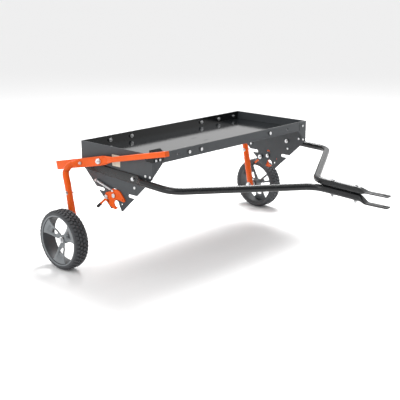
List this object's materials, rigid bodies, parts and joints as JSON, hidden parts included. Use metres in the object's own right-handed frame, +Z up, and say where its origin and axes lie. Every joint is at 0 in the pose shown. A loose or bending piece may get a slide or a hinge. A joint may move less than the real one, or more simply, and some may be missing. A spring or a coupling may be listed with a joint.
{
  "type": "tow behind attachment cart",
  "caption": "Tow-behind cart with a shallow weight tray, notched side plates with sprung latches, a lever-lifted wheel pair and a two-tube drawbar ending in a clevis.",
  "frame": {"origin": "middle of the footprint, on the ground plane under the tyres", "axes": "+X forward to the hitch, +Y to the cart's left, +Z up"},
  "size_m": [1.3076, 1.362, 0.554],
  "materials": {
    "black_paint": "satin powder coat",
    "slate_paint": "satin powder coat",
    "orange_paint": "satin powder coat",
    "zinc": "bright zinc plate",
    "label": "blank printed film",
    "black_plastic": "moulded nylon",
    "grip_rubber": "soft matt",
    "rim_plastic": "moulded, fine texture",
    "tyre": "matt"
  },
  "bodies": {
    "chassis": {"tray_pan": "black_paint", "front_rail": "slate_paint", "rear_rail": "slate_paint", "floor_brace_right": "slate_paint", "floor_brace_left": "slate_paint", "side_plate_right": "slate_paint", "side_plate_left": "slate_paint", "rail_bolts": "zinc", "corner_bolts": "zinc", "side_plate_rivets": "zinc", "lever_catch": "black_paint", "catch_bolts": "zinc", "blank_label": "label", "drawbar_rear_right": "black_paint", "drawbar_rear_left": "black_paint", "drawbar_slant_right": "black_paint", "drawbar_slant_left": "black_paint", "drawbar_tongue_right": "black_paint", "drawbar_tongue_left": "black_paint", "drawbar_bolts": "zinc", "tongue_bolts": "zinc", "shaft_bushings": "black_plastic", "latch_pivot_right": "zinc", "latch_pivot_left": "zinc", "latch_stops": "zinc", "latch_spring_right": "zinc", "latch_spring_left": "zinc", "spring_anchors": "zinc"},
    "lift": {"lift_shaft": "orange_paint", "lift_lever": "orange_paint", "lever_end_plug": "orange_paint", "wheel_arm_right": "orange_paint", "wheel_arm_left": "orange_paint", "lower_leg_right": "orange_paint", "lower_leg_left": "orange_paint", "leg_bolt_right": "zinc", "leg_bolt_left": "zinc", "pivot_bolt_right": "zinc", "pivot_bolt_left": "zinc", "arm_bolt": "zinc", "arm_spacer_left": "orange_paint", "axle_bolt_right": "zinc", "axle_bolt_left": "zinc", "axle_spacer_right": "zinc", "axle_spacer_left": "zinc", "axle_nut_right": "zinc", "axle_nut_left": "zinc"},
    "wheel_right": {"hub_bush_right": "black_plastic", "wheel_rim_right": "rim_plastic", "tyre_right": "tyre"},
    "wheel_left": {"hub_bush_left": "black_plastic", "wheel_rim_left": "rim_plastic", "tyre_left": "tyre"},
    "latch_right": {"latch_claw_right": "orange_paint", "latch_grip_right": "grip_rubber", "claw_pin_right": "zinc"},
    "latch_left": {"latch_claw_left": "orange_paint", "latch_grip_left": "grip_rubber", "claw_pin_left": "zinc"}
  },
  "joints": [
    {"name": "lift_pivot", "type": "hinge", "parent": "chassis", "child": "lift", "pos_m": [-0.36418, 0, 0.459], "axis": [0, -1, 0], "range_deg": [0, 75]},
    {"name": "wheel_right_spin", "type": "hinge", "parent": "lift", "child": "wheel_right", "pos_m": [-0.47918, -0.647, 0.127], "axis": [0, 1, 0], "continuous": true},
    {"name": "wheel_left_spin", "type": "hinge", "parent": "lift", "child": "wheel_left", "pos_m": [-0.47918, 0.647, 0.127], "axis": [0, 1, 0], "continuous": true},
    {"name": "latch_right_pivot", "type": "hinge", "parent": "chassis", "child": "latch_right", "pos_m": [-0.30918, -0.511, 0.319], "axis": [0, 1, 0], "range_deg": [0, 25], "stiffness_Nm_per_rad": 0.6, "springref_deg": -28.65, "deforming": ["latch_spring_right"]},
    {"name": "latch_left_pivot", "type": "hinge", "parent": "chassis", "child": "latch_left", "pos_m": [-0.30918, 0.511, 0.319], "axis": [0, 1, 0], "range_deg": [0, 25], "stiffness_Nm_per_rad": 0.6, "springref_deg": -28.65, "deforming": ["latch_spring_left"]}
  ]
}
